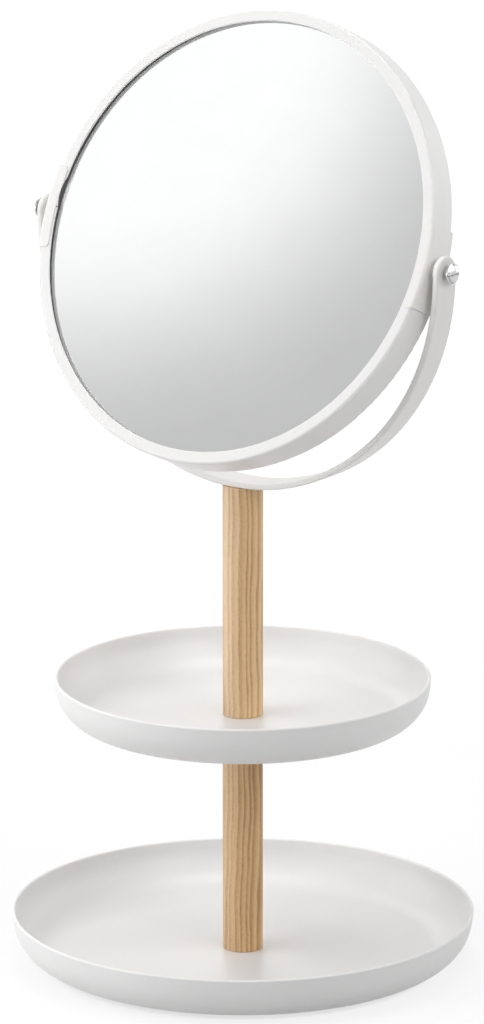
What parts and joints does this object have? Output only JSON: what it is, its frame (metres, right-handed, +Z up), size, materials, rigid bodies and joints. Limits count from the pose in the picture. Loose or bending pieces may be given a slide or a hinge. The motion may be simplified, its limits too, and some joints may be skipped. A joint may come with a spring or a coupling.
{
  "type": "vanity mirror with trays",
  "caption": "Free-standing round two-sided mirror tilting in a U yoke on a wooden post, with two round dished trays stacked below it.",
  "frame": {"origin": "on the table plane, under the centre of the post", "axes": "+Z up, the mirror's pictured front faces -Y, the pivot axis lies along X"},
  "size_m": [0.1974, 0.1798, 0.3694],
  "materials": {
    "white_coat": "satin powder coat",
    "wood": "clear matt",
    "mirror_glass": "polished",
    "black_rubber": "matt",
    "bright_steel": "bright plated",
    "brass": "turned",
    "nylon": "natural",
    "foot_pad": "matt",
    "backing": "raw hardboard"
  },
  "bodies": {
    "stand": {"foot_pads": "foot_pad", "lower_tray": "white_coat", "lower_post": "wood", "lower_post_bottom_insert": "brass", "lower_post_top_insert": "brass", "base_screw": "bright_steel", "joining_stud": "bright_steel", "upper_tray": "white_coat", "upper_post": "wood", "upper_post_bottom_insert": "brass", "upper_post_top_insert": "brass", "yoke_stud": "bright_steel", "yoke": "white_coat"},
    "mirror": {"mirror_frame": "white_coat", "edge_gasket": "black_rubber", "front_mirror": "mirror_glass", "backing_disc": "backing", "back_mirror": "mirror_glass", "pivot_bracket_left": "white_coat", "pivot_nut_left": "bright_steel", "pivot_spacer_left": "nylon", "pivot_collar_left": "bright_steel", "pivot_screw_left": "bright_steel", "pivot_bracket_right": "white_coat", "pivot_nut_right": "bright_steel", "pivot_spacer_right": "nylon", "pivot_collar_right": "bright_steel", "pivot_screw_right": "bright_steel"}
  },
  "joints": [
    {"name": "mirror_tilt", "type": "hinge", "parent": "stand", "child": "mirror", "pos_m": [0, 0, 0.2859], "axis": [1, 0, 0], "continuous": true}
  ]
}
